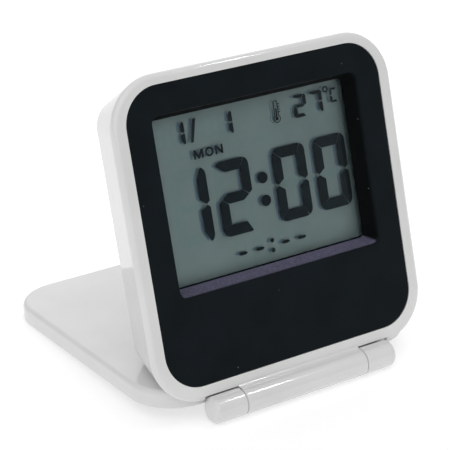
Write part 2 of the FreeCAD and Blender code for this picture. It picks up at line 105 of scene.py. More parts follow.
def addNode(tree, kind, settings=None, inputs=None):
    node = tree.nodes.new(kind)
    for name, value in (settings or {}).items():
        setattr(node, name, value)
    for name, value in (inputs or {}).items():
        if isinstance(value, bpy.types.NodeSocket):
            tree.links.new(value, node.inputs[name])
        else:
            node.inputs[name].default_value = value
    return node


def startMaterial(name):
    material = bpy.data.materials.new(name)
    material.use_nodes = True
    tree = material.node_tree
    tree.nodes.clear()
    spot = addNode(tree, "ShaderNodeTexCoord").outputs["Object"]
    return material, tree, spot


def endMaterial(tree, shader):
    addNode(tree, "ShaderNodeOutputMaterial", None, {"Surface": shader})


def endPrincipled(tree, inputs):
    endMaterial(tree, addNode(tree, "ShaderNodeBsdfPrincipled", None, inputs).outputs[0])


def noiseOf(tree, spot, size, detail=2):
    # noise whose lumps are about size mm across
    inputs = {"Vector": spot, "Scale": 1 / (size * mm), "Detail": detail}
    return addNode(tree, "ShaderNodeTexNoise", None, inputs).outputs["Fac"]


def mathOf(tree, operation, *values):
    return addNode(tree, "ShaderNodeMath", {"operation": operation}, dict(enumerate(values))).outputs[0]


def vectorOf(tree, operation, output, *values):
    node = addNode(tree, "ShaderNodeVectorMath", {"operation": operation}, dict(enumerate(values)))
    return node.outputs[output]


def dotOf(tree, first, second):
    return vectorOf(tree, "DOT_PRODUCT", "Value", first, second)


def rangeOf(tree, value, low, high, start=0.3, end=0.7):
    inputs = {"Value": value, "From Min": start, "From Max": end, "To Min": low, "To Max": high}
    return addNode(tree, "ShaderNodeMapRange", None, inputs).outputs[0]


def mixColours(tree, factor, first, second):
    mix = addNode(tree, "ShaderNodeMix", {"data_type": "RGBA"}, {0: factor, 6: first, 7: second})
    return mix.outputs[2]


def toneOf(tree, factor, finish):
    return mixColours(tree, factor, linearColour(finish["dark"]), linearColour(finish["light"]))


def glossOf(tree, value, finish):
    return rangeOf(tree, value, finish["smooth"], finish["rough"])


def bumpOf(tree, height, depth):
    return addNode(tree, "ShaderNodeBump", None, {"Height": height, "Distance": depth * mm}).outputs[0]


def stretchedSpot(tree, spot, stretch):
    return addNode(tree, "ShaderNodeMapping", None, {"Vector": spot, "Scale": stretch}).outputs[0]


# mouldings: gloss white ABS from a polished tool, with clear reflections and a faint orange peel
whiteAbsFinish = {"dark": "#D2D3D2", "light": "#D9DAD9", "driftSize": 18, "glossSize": 7,
                  "smooth": 0.08, "rough": 0.11, "grainSize": 2.6, "grainDetail": 1, "grainDepth": 0.0006,
                  "ior": 1.54, "specular": 0.5}
# black ABS from an unpolished tool, as inner switch parts are
switchBlackFinish = {"dark": "#121314", "light": "#1C1D1F", "driftSize": 3, "glossSize": 2,
                     "smooth": 0.35, "rough": 0.5, "grainSize": 0.3, "grainDetail": 3, "grainDepth": 0.01,
                     "ior": 1.54, "specular": 0.5}
# epoxy blob over the chip, poured and cured: smooth, black, slightly wavy
resinFinish = {"dark": "#0B0B0C", "light": "#141416", "driftSize": 4, "glossSize": 3,
               "smooth": 0.18, "rough": 0.32, "grainSize": 1.6, "grainDetail": 1, "grainDepth": 0.05,
               "ior": 1.55, "specular": 0.5}
# fired ceramic of the buzzer, with its silvered face worn a little matt
buzzerCeramicFinish = {"dark": "#C9C6BC", "light": "#DAD8D0", "driftSize": 3, "glossSize": 1,
                       "smooth": 0.35, "rough": 0.55, "grainSize": 0.4, "grainDetail": 3,
                       "grainDepth": 0.01, "ior": 1.6, "specular": 0.5}
# thick film resistors: dark glaze over alumina
resistorFinish = {"dark": "#17181B", "light": "#25272C", "driftSize": 0.5, "glossSize": 0.4,
                  "smooth": 0.3, "rough": 0.45, "grainSize": 0.2, "grainDetail": 2, "grainDepth": 0.01,
                  "ior": 1.6, "specular": 0.5}
# chip capacitors: tan ceramic, faintly mottled
tanCeramicFinish = {"dark": "#A98B62", "light": "#BC9F77", "driftSize": 0.6, "glossSize": 0.5,
                    "smooth": 0.35, "rough": 0.5, "grainSize": 0.2, "grainDetail": 2, "grainDepth": 0.01,
                    "ior": 1.6, "specular": 0.5}
# liquid crystal, switched on: nearly black with a blue cast
crystalOnFinish = {"dark": "#0E242C", "light": "#162E37", "driftSize": 3, "glossSize": 2,
                   "smooth": 0.4, "rough": 0.5, "grainSize": 0.5, "grainDetail": 2, "grainDepth": 0.001,
                   "ior": 1.5, "specular": 0.1}


def mouldedPlastic(name, finish):
    # a tone that drifts a little, a gloss that is not even, and a fine relief from the mould
    material, tree, spot = startMaterial(name)
    drift = noiseOf(tree, spot, finish["driftSize"], 3)
    gloss = noiseOf(tree, spot, finish["glossSize"], 4)
    relief = noiseOf(tree, spot, finish["grainSize"], finish["grainDetail"])
    endPrincipled(tree, {
        "Base Color": toneOf(tree, rangeOf(tree, drift, 0, 1), finish),
        "Roughness": glossOf(tree, gloss, finish),
        "IOR": finish["ior"], "Specular IOR Level": finish["specular"],
        "Normal": bumpOf(tree, relief, finish["grainDepth"])})
    return material


# metals: ground steel pins and screws, zinc plated, with bright streaks along the grinding
steelFinish = {"dark": "#A8ABAE", "light": "#C9CCCF", "stretch": (0.15, 1, 1), "streakSize": 0.15,
               "smooth": 0.22, "rough": 0.36, "streakDepth": 0.002}
# spring wire, drawn: streaks along the wire are too fine to show, so they are drawn as 0.2 mm patches
springFinish = {"dark": "#8E9194", "light": "#B4B7BA", "stretch": (1, 1, 1), "streakSize": 0.2,
                "smooth": 0.25, "rough": 0.4, "streakDepth": 0.002}
# nickel plated strip, rolled and stamped: warm grey with streaks along the strip
nickelFinish = {"dark": "#B9B5A8", "light": "#D3D0C6", "stretch": (1, 1, 0.1), "streakSize": 0.2,
                "smooth": 0.2, "rough": 0.34, "streakDepth": 0.003}
# brass of the buzzer disc, rolled: yellow with streaks one way
brassFinish = {"dark": "#B08D45", "light": "#D2B066", "stretch": (1, 1, 0.12), "streakSize": 0.25,
               "smooth": 0.2, "rough": 0.33, "streakDepth": 0.003}


def workedMetal(name, finish):
    # streaks along one direction, from drawing, rolling or turning
    material, tree, spot = startMaterial(name)
    streaks = noiseOf(tree, stretchedSpot(tree, spot, finish["stretch"]), finish["streakSize"], 4)
    endPrincipled(tree, {
        "Base Color": toneOf(tree, rangeOf(tree, streaks, 0, 1), finish), "Metallic": 1.0,
        "Roughness": glossOf(tree, streaks, finish),
        "Normal": bumpOf(tree, streaks, finish["streakDepth"])})
    return material


# the black face panel is spark eroded ABS: matt, dead black, with a little dust on it; painted shade
# darkens its window recess and a painted highlight lightens the window's sill
panelFinish = {"dark": "#080F13", "light": "#0D151A", "wall": "#07090A", "sillHighlight": "#5C5B70",
               "dust": "#596066", "driftSize": 9, "grainSize": 0.35, "grainDepth": 0.02,
               "smooth": 0.56, "rough": 0.66, "ior": 1.54, "specular": 0.08, "recessStart": 0.4,
               "recessEnd": 0.9, "speckleLow": 0.55, "dustPitch": 3.4, "dustSize": 0.045, "dustShare": 0.4}


def sparkErodedPanel():
    material, tree, spot = startMaterial("sparkErodedBlackAbs")
    finish = panelFinish
    drift = noiseOf(tree, spot, finish["driftSize"], 3)
    colour = toneOf(tree, rangeOf(tree, drift, 0, 1), finish)
    # the walls of the window recess are painted darker, as painted shade in the recess, and are quite matt
    face = hinge + back * clockBox("front_panel")[0].y
    depth = dotOf(tree, vectorOf(tree, "SUBTRACT", 0, spot, face), back)
    inside = rangeOf(tree, depth, 0, 1, finish["recessStart"] * mm, finish["recessEnd"] * mm)
    colour = mixColours(tree, inside, colour, linearColour(finish["wall"]))
    # the upward facing sill of the window is painted lighter, a painted highlight for the light it catches,
    # and the grain breaks that highlight into pale speckle
    upward = dotOf(tree, addNode(tree, "ShaderNodeTexCoord").outputs["Normal"], up)
    sillHighlight = mathOf(tree, "MULTIPLY", inside, rangeOf(tree, upward, 0, 1, 0.5, 0.8))
    grain = noiseOf(tree, spot, finish["grainSize"], 4)
    speckle = rangeOf(tree, grain, finish["speckleLow"], 1.0, 0.35, 0.65)
    lightened = mathOf(tree, "MULTIPLY", sillHighlight, speckle)
    colour = mixColours(tree, lightened, colour, linearColour(finish["sillHighlight"]))
    # dust: a few specks, one in some cells of a coarse cell pattern
    cellInputs = {"Vector": spot, "Scale": 1 / (finish["dustPitch"] * mm)}
    cells = addNode(tree, "ShaderNodeTexVoronoi", None, cellInputs)
    near = mathOf(tree, "LESS_THAN", cells.outputs["Distance"], finish["dustSize"])
    pick = addNode(tree, "ShaderNodeSeparateColor", None, {0: cells.outputs["Color"]}).outputs[0]
    chosen = mathOf(tree, "LESS_THAN", pick, finish["dustShare"])
    dust = mathOf(tree, "MULTIPLY", near, chosen)
    colour = mixColours(tree, dust, colour, linearColour(finish["dust"]))
    relief = noiseOf(tree, spot, finish["grainSize"], 3)
    endPrincipled(tree, {
        "Base Color": colour, "Roughness": mathOf(tree, "MAXIMUM", inside, glossOf(tree, drift, finish)),
        "IOR": finish["ior"], "Specular IOR Level": finish["specular"],
        "Normal": bumpOf(tree, relief, finish["grainDepth"])})
    return material


# clear acrylic window, polished: almost invisible, it only adds a faint reflection
lensFinish = {"tint": "#FCFDFD", "smooth": 0.015, "rough": 0.03, "smearSize": 14, "ior": 1.49}
# display glass with its polarising film: a trace of green
cellFinish = {"tint": "#F6F9F9", "smooth": 0.05, "rough": 0.09, "smearSize": 9, "ior": 1.3}


def clearPane(name, finish):
    # a thin flat sheet doesn't bend the view: light goes straight through, and its faces mirror a little
    material, tree, spot = startMaterial(name)
    roughness = glossOf(tree, noiseOf(tree, spot, finish["smearSize"], 3), finish)
    tint = {"Color": linearColour(finish["tint"])}
    through = addNode(tree, "ShaderNodeBsdfTransparent", None, tint).outputs[0]
    mirrorInputs = {"Color": (1, 1, 1, 1), "Roughness": roughness}
    mirror = addNode(tree, "ShaderNodeBsdfAnisotropic", None, mirrorInputs).outputs[0]
    share = addNode(tree, "ShaderNodeFresnel", None, {"IOR": finish["ior"]}).outputs[0]
    mixed = addNode(tree, "ShaderNodeMixShader", None, {0: share, 1: through, 2: mirror}).outputs[0]
    endMaterial(tree, mixed)
    return material


# rear reflector: brushed film behind the rear polariser, which gives the display its grey green
reflectorFinish = {"dark": "#B2C3C3", "light": "#BACBCB", "brush": 0.25, "stretch": (0.06, 1, 1),
                   "cloud": 6, "smooth": 0.28, "rough": 0.34, "metallic": 0.15, "brushDepth": 0.001}
# the same film seen through crystal that is switched off is a shade darker
crystalOffFinish = {**reflectorFinish, "dark": "#ADC3C2", "light": "#B3CAC9"}
# the shade that the lit segments throw on that film, bluish
crystalShadeFinish = {**reflectorFinish, "dark": "#89A2B3", "light": "#90AABB"}


def brushedReflector(name, finish):
    material, tree, spot = startMaterial(name)
    brush = noiseOf(tree, stretchedSpot(tree, spot, finish["stretch"]), finish["brush"], 4)
    cloud = noiseOf(tree, spot, finish["cloud"], 2)
    both = mathOf(tree, "MULTIPLY_ADD", brush, 0.5, cloud)
    endPrincipled(tree, {
        "Base Color": toneOf(tree, rangeOf(tree, both, 0, 1, 0.55, 0.95), finish),
        "Metallic": finish["metallic"], "Roughness": glossOf(tree, brush, finish),
        "Normal": bumpOf(tree, brush, finish["brushDepth"])})
    return material


# circuit board: green solder mask over etched copper, which shows through as lighter tracks;
# the tracks and runs are in shares of the pitch
boardFinish = {"mask": "#1F5A34", "maskLight": "#236239", "track": "#3A8453", "pitch": 2.4,
               "trackWidth": 0.07, "runLength": 2.6, "runHeight": 0.5, "stagger": 0.37, "relief": 0.03,
               "glossSize": 3, "smooth": 0.3, "rough": 0.45, "ior": 1.55}


def solderMask():
    material, tree, spot = startMaterial("greenSolderMask")
    finish = boardFinish
    turn = addNode(tree, "ShaderNodeMapping", None, {"Vector": spot, "Rotation": (math.pi / 2, 0, 0)})
    runs = addNode(tree, "ShaderNodeTexBrick", {"offset": finish["stagger"]}, {
        "Vector": turn.outputs[0], "Scale": 1 / (finish["pitch"] * mm), "Mortar Size": finish["trackWidth"],
        "Brick Width": finish["runLength"], "Row Height": finish["runHeight"],
        "Color1": linearColour(finish["mask"]), "Color2": linearColour(finish["maskLight"]),
        "Mortar": linearColour(finish["track"])})
    endPrincipled(tree, {
        "Base Color": runs.outputs["Color"], "IOR": finish["ior"],
        "Roughness": glossOf(tree, noiseOf(tree, spot, finish["glossSize"], 3), finish),
        "Normal": bumpOf(tree, runs.outputs["Fac"], finish["relief"])})
    return material


# zebra strip: silicone rubber with thin conducting layers of 0.1 mm, drawn as 0.5 mm so that they show
zebraFinish = {"clear": "#C9C7C0", "carbon": "#1B1B1D", "pitch": 0.5, "waver": 0.4, "glossSize": 1,
               "smooth": 0.55, "rough": 0.7, "ior": 1.41}


def zebraRubber():
    material, tree, spot = startMaterial("zebraSilicone")
    finish = zebraFinish
    scale = math.pi / (10 * finish["pitch"] * mm)
    bands = addNode(tree, "ShaderNodeTexWave", {"bands_direction": "X"},
                    {"Vector": spot, "Scale": scale, "Distortion": finish["waver"]}).outputs["Fac"]
    layer = rangeOf(tree, bands, 0, 1, 0.4, 0.6)
    colour = mixColours(tree, layer, linearColour(finish["clear"]), linearColour(finish["carbon"]))
    endPrincipled(tree, {
        "Base Color": colour, "IOR": finish["ior"],
        "Roughness": glossOf(tree, noiseOf(tree, spot, finish["glossSize"], 3), finish)})
    return material


# battery: steel can in a printed sleeve, with bare bright ends and a pale band at the button end
batteryFinish = {"sleeve": "#2C6E9B", "band": "#D9DCDD", "end": "#B8B6AE", "sleeveStart": 1.2,
                 "sleeveEnd": 1.6, "bandWidth": 9, "scuffSize": 2.5, "scuffDepth": 0.02, "smooth": 0.18,
                 "rough": 0.34}


def sleevedCell():
    material, tree, spot = startMaterial("sleevedSteelCell")
    finish = batteryFinish
    low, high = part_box("battery")
    sleeveStart = low.x + finish["sleeveStart"] * mm
    sleeveEnd = high.x - finish["sleeveEnd"] * mm
    x = addNode(tree, "ShaderNodeSeparateXYZ", None, {0: spot}).outputs[0]
    afterStart = mathOf(tree, "GREATER_THAN", x, sleeveStart)
    beforeEnd = mathOf(tree, "LESS_THAN", x, sleeveEnd)
    sleeved = mathOf(tree, "MULTIPLY", afterStart, beforeEnd)
    inBand = mathOf(tree, "GREATER_THAN", x, sleeveEnd - finish["bandWidth"] * mm)
    printed = mixColours(tree, inBand, linearColour(finish["sleeve"]), linearColour(finish["band"]))
    scuffs = noiseOf(tree, spot, finish["scuffSize"], 5)
    endPrincipled(tree, {
        "Base Color": mixColours(tree, sleeved, linearColour(finish["end"]), printed),
        "Metallic": mathOf(tree, "SUBTRACT", 1.0, sleeved), "Roughness": glossOf(tree, scuffs, finish),
        "Normal": bumpOf(tree, scuffs, finish["scuffDepth"])})
    return material


glossAbs = mouldedPlastic("glossWhiteAbs", whiteAbsFinish)
crystalOn = mouldedPlastic("crystalOn", crystalOnFinish)
groundSteel = workedMetal("groundSteel", steelFinish)
cellGlass = clearPane("displayGlass", cellFinish)
crystalOff = brushedReflector("crystalOff", crystalOffFinish)
crystalShade = brushedReflector("crystalShade", crystalShadeFinish)
print("materials described")


# pieces

def dress(material, *names):
    for name in names:
        for place in nodes[name].material_slots:
            place.material = material


def addPiece(name, bm, body, material, stands=()):
    mesh = bpy.data.meshes.new(name)
    bm.to_mesh(mesh)
    bm.free()
    piece = bpy.data.objects.new(name, mesh)
    scene.collection.objects.link(piece)
    mesh.materials.append(material)
    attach(piece, body)
    if stands:
        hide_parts(*stands)
    return piece


def movedVerts(grown):
    return [v for v in grown["geom"] if isinstance(v, bmesh.types.BMVert)]


# the barrel of the hinge: its seams are soft grooves; middle is the share of its length that holds seams
edgeFinish = {"sharp": 50, "flat": 0.3, "seam": 0.35, "steps": 4, "reach": 0.02, "merge": 0.001,
              "middle": 0.8}
barrelRadius = hinge.z
barrelHalf = clockBox("hinge_pins")[1].x


def fromHinge(vert):
    return math.hypot(vert.co.y - hinge.y, vert.co.z - hinge.z)


def isSeamRim(edge):
    # true on the rims where the barrel of the hinge is divided, away from the barrel's two rounded ends
    start, end = edge.verts
    inMiddle = abs(start.co.x) < edgeFinish["middle"] * barrelHalf
    square = abs(start.co.x - end.co.x) < edgeFinish["merge"] * mm
    near = all(abs(fromHinge(v) - barrelRadius) < edgeFinish["reach"] * mm for v in (start, end))
    return inMiddle and square and near and edge.calc_face_angle(0) > math.radians(edgeFinish["sharp"])


def softenedCopy(name, piece, body):
    # copy of a node whose seam rims are rounded; gives back how far from the middle the rims are
    bm = bmesh.new()
    bm.from_mesh(nodes[name].data)
    bmesh.ops.remove_doubles(bm, verts=bm.verts, dist=edgeFinish["merge"] * mm)
    inBarrel = {v for v in bm.verts if fromHinge(v) < barrelRadius + edgeFinish["reach"] * mm}
    spokes = [e for e in bm.edges if e.verts[0] in inBarrel and e.verts[1] in inBarrel]
    bmesh.ops.dissolve_limit(bm, angle_limit=math.radians(edgeFinish["flat"]),
                             use_dissolve_boundaries=False, verts=list(inBarrel), edges=spokes)
    rims = [e for e in bm.edges if isSeamRim(e)]
    rimPlaces = sorted({round(abs(v.co.x), 5) for e in rims for v in e.verts})
    bmesh.ops.bevel(bm, geom=rims, offset=edgeFinish["seam"] * mm, offset_type="OFFSET",
                    segments=edgeFinish["steps"], profile=0.5, affect="EDGES", clamp_overlap=False,
                    material=-1)
    for face in bm.faces:
        face.smooth = True
    for edge in bm.edges:
        edge.smooth = edge.calc_face_angle(0) < math.radians(edgeFinish["sharp"])
    copy = addPiece(piece, bm, body, glossAbs, (name,))
    for layer in [a for a in copy.data.attributes if a.name == "custom_normal"]:
        copy.data.attributes.remove(layer)
    weighted = copy.modifiers.new("flatFaces", "WEIGHTED_NORMAL")
    weighted.keep_sharp = True
    return rimPlaces


middleRims = softenedCopy("front_bezel", "bezelShell", "clock")
outerRims = softenedCopy("stand_cover", "coverShell", "cover")
print("seams of the barrel softened, in metres from the middle:", middleRims[-1], outerRims[0])

# bosses on the ends of the middle knuckle fill most of the seam, so that it shows as a shallow groove
bossDetail = {"sink": 0.42, "root": 0.1, "clear": 0.03, "pinClear": 0.12, "steps": 48}


def seamBosses():
    bm = bmesh.new()
    pinLow, pinHigh = clockBox("hinge_pins")
    inner = (pinHigh.z - pinLow.z) / 2 + bossDetail["pinClear"] * mm
    outer = barrelRadius - bossDetail["sink"] * mm
    start = middleRims[-1] - bossDetail["root"] * mm
    end = outerRims[0] - bossDetail["clear"] * mm
    for side in (-1, 1):
        corners = [(start, inner), (end, inner), (end, outer), (start, outer)]
        profile = [bm.verts.new((side * x, hinge.y, hinge.z + r)) for x, r in corners]
        ring = [bm.edges.new((profile[i], profile[(i + 1) % 4])) for i in range(4)]
        bmesh.ops.spin(bm, geom=profile + ring, cent=hinge, axis=(1, 0, 0), angle=2 * math.pi,
                       steps=bossDetail["steps"], use_merge=True)
    bmesh.ops.recalc_face_normals(bm, faces=bm.faces)
    addPiece("seamBosses", bm, "clock", glossAbs)


seamBosses()
dress(glossAbs, "rear_case", "battery_door", "alarm_slider")
dress(glossAbs, "mode_button", "set_button", "up_button", "down_button")
dress(sparkErodedPanel(), "front_panel")
dress(clearPane("clearAcrylic", lensFinish), "window_lens")
dress(brushedReflector("brushedReflectorFilm", reflectorFinish), "lcd_reflector")
print("case, panel and window dressed")

dress(groundSteel, "hinge_pins", "case_screws", "board_screws", "clock_crystal")
dress(workedMetal("springWire", springFinish), "battery_spring", "buzzer_springs")
dress(workedMetal("nickelStrip", nickelFinish), "positive_contact", "negative_contact")
dress(workedMetal("rolledBrass", brassFinish), "buzzer_disc")
dress(mouldedPlastic("silveredCeramic", buzzerCeramicFinish), "buzzer_ceramic")
dress(mouldedPlastic("blackEpoxy", resinFinish), "controller_chip", "thermistor")
dress(mouldedPlastic("blackSwitchAbs", switchBlackFinish), "switch_bases", "slide_switch_body",
      "alarm_switch_lever", "mode_plunger", "set_plunger", "up_plunger", "down_plunger")
dress(mouldedPlastic("resistorGlaze", resistorFinish), "resistors")
dress(mouldedPlastic("tanCeramic", tanCeramicFinish), "capacitors")
dress(solderMask(), "main_board")
dress(zebraRubber(), "zebra_strip")
dress(sleevedCell(), "battery")
print("inner pieces dressed")


# the display cell: film, two glasses and the ledge for the contacts, sealed into one clear piece
cellDetail = {"frontGap": 0.05, "sink": 0.01, "edge": 0.04}
layerLow = clockBox("lcd_segment_layer")[0]


def displayCell():
    low, high = clockBox("lcd_front_glass")
    filmFront = clockBox("lcd_front_polarizer")[0].y + cellDetail["frontGap"] * mm
    rearBack = clockBox("lcd_rear_glass")[1].y + cellDetail["sink"] * mm
    bm = bmesh.new()
    bmesh.ops.create_cube(bm, size=1)
    bmesh.ops.scale(bm, verts=bm.verts, vec=(high.x - low.x, high.y - filmFront, high.z - low.z))
    bmesh.ops.translate(bm, verts=bm.verts, vec=(0, (high.y + filmFront) / 2, (high.z + low.z) / 2))
    bmesh.ops.bisect_plane(bm, geom=bm.verts[:] + bm.edges[:] + bm.faces[:],
                           plane_co=(0, 0, layerLow.z), plane_no=(0, 0, 1))
    rear = [f for f in bm.faces if f.normal.y > 0.9 and f.calc_center_median().z > layerLow.z]
    grown = bmesh.ops.extrude_face_region(bm, geom=rear)
    bmesh.ops.translate(bm, verts=movedVerts(grown), vec=(0, rearBack - high.y, 0))
    bmesh.ops.delete(bm, geom=rear, context="FACES_ONLY")
    bmesh.ops.bevel(bm, geom=bm.edges[:], offset=cellDetail["edge"] * mm, offset_type="OFFSET", segments=2,
                    profile=0.5, affect="EDGES", clamp_overlap=True, material=-1)
    bmesh.ops.transform(bm, matrix=clockTurnBack(), verts=bm.verts)
    bmesh.ops.recalc_face_normals(bm, faces=bm.faces)
    addPiece("displayCell", bm, "clock", cellGlass,
             ("lcd_front_polarizer", "lcd_front_glass", "lcd_rear_glass"))


displayCell()


# flat drawing on the display: x and y in mm

def mergeInto(bm, part):
    mesh = bpy.data.meshes.new("part")
    part.to_mesh(mesh)
    part.free()
    bm.from_mesh(mesh)
    bpy.data.meshes.remove(mesh)


def addOutline(bm, points):
    bm.faces.new([bm.verts.new((x, y, 0)) for x, y in points])


def addBar(bm, x0, y0, x1, y1):
    addOutline(bm, [(x0, y0), (x1, y0), (x1, y1), (x0, y1)])


def addDot(bm, x, y, radius):
    place = Matrix.Translation((x, y, 0))
    bmesh.ops.create_circle(bm, cap_ends=True, segments=32, radius=radius, matrix=place)


def addRing(bm, x, y, inner, outer, angle=360, start=0):
    part = bmesh.new()
    turn = math.radians(start)
    ends = [part.verts.new((x + r * math.cos(turn), y + r * math.sin(turn), 0)) for r in (inner, outer)]
    edge = part.edges.new(ends)
    bmesh.ops.spin(part, geom=ends + [edge], cent=(x, y, 0), axis=(0, 0, 1), angle=math.radians(angle),
                   steps=36, use_merge=angle == 360)
    bmesh.ops.recalc_face_normals(part, faces=part.faces)
    mergeInto(bm, part)


# seven segment digit, drawn at the size of the large ones; each mitre is measured in from its corner
digit = {"width": 9.24, "height": 17.5, "side": 2.5, "bar": 2.6, "waist": 1.2, "corner": 1.9,
         "cornerSteps": 6, "gap": 0.13, "tip": 0.82, "shoulder": 0.65, "topLeft": (0.35, 0.87),
         "topRight": (1.41, 0.33), "bottomLeft": (0.41, 1.25), "bottomRight": (1.21, 0.33), "smallGap": 0.7}
lit = {"0": "abcdef", "1": "bc", "2": "abged", "7": "abc", "C": "afed", "-": "g", " ": ""}


def segmentPlans():
    # each segment as a rectangle, its rounded corners, and the lines that trim it: right of a line goes
    w, h, t, r = digit["width"], digit["height"], digit["side"], digit["bar"]
    middle, half, shoulder = h / 2, digit["waist"], digit["shoulder"]
    leftTip, rightTip = (digit["tip"], middle), (w - digit["tip"], middle)
    upLeft, upRight = (t, middle + half), (w - t, middle + half)
    downLeft, downRight = (t, middle - half), (w - t, middle - half)
    topIn, topOut = (t, h - r), (digit["topLeft"][0], h - digit["topLeft"][1])
    rightIn, rightOut = (w - t, h - r), (w - digit["topRight"][0], h - digit["topRight"][1])
    bottomIn, bottomOut = (t, r), digit["bottomLeft"]
    footIn, footOut = (w - t, r), (w - digit["bottomRight"][0], digit["bottomRight"][1])
    outUpLeft, outUpRight = (0, middle + shoulder), (w, middle + shoulder)
    outDownLeft, outDownRight = (0, middle - shoulder), (w, middle - shoulder)
    return {
        "a": ((0, h - r), (w, h), (2, 3), [(topOut, topIn), (rightIn, rightOut)]),
        "b": ((w - t, middle), (w, h), (2,),
              [(rightOut, rightIn), (upRight, rightTip), (rightTip, outUpRight)]),
        "c": ((w - t, 0), (w, middle), (1,),
              [(footIn, footOut), (rightTip, downRight), (outDownRight, rightTip)]),
        "d": ((0, 0), (w, r), (0, 1), [(bottomIn, bottomOut), (footOut, footIn)]),
        "e": ((0, 0), (t, middle), (0,),
              [(bottomOut, bottomIn), (downLeft, leftTip), (leftTip, outDownLeft)]),
        "f": ((0, middle), (t, h), (3,),
              [(topIn, topOut), (leftTip, upLeft), (outUpLeft, leftTip)]),
        "g": ((0, middle - half), (w, middle + half), (),
              [(upLeft, leftTip), (rightTip, upRight), (leftTip, downLeft), (downRight, rightTip)]),
    }


plans = segmentPlans()


def addSegment(bm, letter, x, y, width, height):
    low, high, rounded, cuts = plans[letter]
    part = bmesh.new()
    corners = [(low[0], low[1]), (high[0], low[1]), (high[0], high[1]), (low[0], high[1])]
    verts = [part.verts.new((cx, cy, 0)) for cx, cy in corners]
    part.faces.new(verts)
    if rounded:
        bmesh.ops.bevel(part, geom=[verts[i] for i in rounded], offset=digit["corner"],
                        offset_type="OFFSET", segments=digit["cornerSteps"], profile=0.5,
                        affect="VERTICES", clamp_overlap=False, material=-1)
    # small digits keep a gap that shows
    gap = digit["gap"] * max(1, digit["width"] / width * digit["smallGap"])
    for start, end in cuts:
        along = (Vector(end) - Vector(start)).normalized()
        right = Vector((along.y, -along.x, 0))
        edge = Vector((*start, 0)) - right * gap / 2
        bmesh.ops.bisect_plane(part, geom=part.verts[:] + part.edges[:] + part.faces[:], plane_co=edge,
                               plane_no=right, clear_outer=True)
    scale = Matrix.Diagonal((width / digit["width"], height / digit["height"], 1, 1))
    part.transform(Matrix.Translation((x, y, 0)) @ scale)
    mergeInto(bm, part)


def addDigits(bm, text, places, y, width, height, off=False):
    # the lit segments of the text, or with off the others
    for letter, x in zip(text, places):
        for name in "abcdefg":
            if (name in lit[letter]) != off:
                addSegment(bm, name, x, y, width, height)


thermometer = {"x": 8.2, "bulbY": 32.57, "topY": 36.25, "bulbIn": 0.74, "bulbOut": 0.96, "bulbAngle": 290,
               "bulbStart": 125, "fill": 0.4, "tubeStart": 0.72, "tubeIn": 0.42, "tubeOut": 0.62,
               "columnHalf": 0.17, "columnStart": 0.3, "columnEnd": 2.4, "tickY": (35.9, 35.3, 34.7, 34.1),
               "tickEnd": 1.12, "tickHalf": 0.1}


def addThermometer(bm):
    t = thermometer
    x, bulb = t["x"], t["bulbY"]
    addRing(bm, x, bulb, t["bulbIn"], t["bulbOut"], t["bulbAngle"], t["bulbStart"])
    addDot(bm, x, bulb, t["fill"])
    addBar(bm, x - t["tubeOut"], bulb + t["tubeStart"], x - t["tubeIn"], t["topY"])
    addBar(bm, x + t["tubeIn"], bulb + t["tubeStart"], x + t["tubeOut"], t["topY"])
    addRing(bm, x, t["topY"], t["tubeIn"], t["tubeOut"], 180, 0)
    addBar(bm, x - t["columnHalf"], bulb + t["columnStart"], x + t["columnHalf"], bulb + t["columnEnd"])
    for tick in t["tickY"]:
        addBar(bm, x + t["tubeOut"], tick - t["tickHalf"], x + t["tickEnd"], tick + t["tickHalf"])


# heavy letters of the lit day name; the shares are of their height
heavyLetters = {"strokeShare": 0.23, "mWidth": 2.55, "mCrown": 0.55, "mFoot": 0.225, "mLegShare": 0.55,
                "mValleyShare": 0.36, "oMiddle": 4.15, "oWidth": 2.2, "oShare": 1.04, "oStroke": 0.21,
                "nLeft": 5.7, "nWidth": 2.1, "nSlantShare": 0.62}


def addMon(bm, x, y, h):
    s = heavyLetters
    t = s["strokeShare"] * h
    m, leg, valley = s["mWidth"], s["mLegShare"] * h, s["mValleyShare"] * h
    outline = [(0, 0), (t, 0), (t, leg), (m / 2 - s["mFoot"], 0), (m / 2 + s["mFoot"], 0), (m - t, leg),
               (m - t, 0), (m, 0), (m, h), (m - s["mCrown"], h), (m / 2, valley), (s["mCrown"], h), (0, h)]
    addOutline(bm, [(x + px, y + py) for px, py in outline])
    ring = bmesh.new()
    addRing(ring, 0, 0, 0.5 - s["oStroke"], 0.5)
    place = Matrix.Translation((x + s["oMiddle"], y + h / 2, 0))
    ring.transform(place @ Matrix.Diagonal((s["oWidth"], h * s["oShare"], 1, 1)))
    mergeInto(bm, ring)
    n, slant, foot = s["nWidth"], s["nSlantShare"] * h, (1 - s["nSlantShare"]) * h
    outline = [(0, 0), (t, 0), (t, slant), (n - t, 0), (n, 0), (n, h), (n - t, h), (n - t, foot), (t, h),
               (0, h)]
    addOutline(bm, [(x + s["nLeft"] + px, y + py) for px, py in outline])


# what the display shows, across from its middle line and up from a line a little above its lower edge
screen = {
    "time": "12:00", "timeX": (-22.3, -10.7, 5.05, 16.7), "timeY": 8.5,
    "colonX": 1.83, "colonY": (20.0, 14.6), "colonR": 1.33,
    "smallWidth": 3.62, "smallHeight": 5.3, "smallY": 31.65,
    "monthX": (-24.9, -20.3), "dayX": (-12.1, -7.5), "degreesX": (13.16, 17.76),
    "slash": ((-15.46, 31.77), (-14.75, 31.77), (-13.4, 37.07), (-14.2, 37.07)),
    "ringX": 22.57, "ringY": 36.73, "ringIn": 0.42, "ringOut": 0.78,
    "unitX": 23.68, "unitY": 33.3, "unitWidth": 2.3, "unitHeight": 3.4,
    "nameY": 27.85, "nameHeight": 2.12, "nameX": -15.3, "nameWidth": 7.8, "nameGap": 1.1,
    "alarmX": (-8.2, -3.5, 3.7, 8.36), "alarmY": 1.15, "alarmWidth": 3.36, "alarmHeight": 5.6,
    "alarmDotX": 1.73, "alarmDotY": (5.1, 2.77), "alarmDotR": 0.53,
}
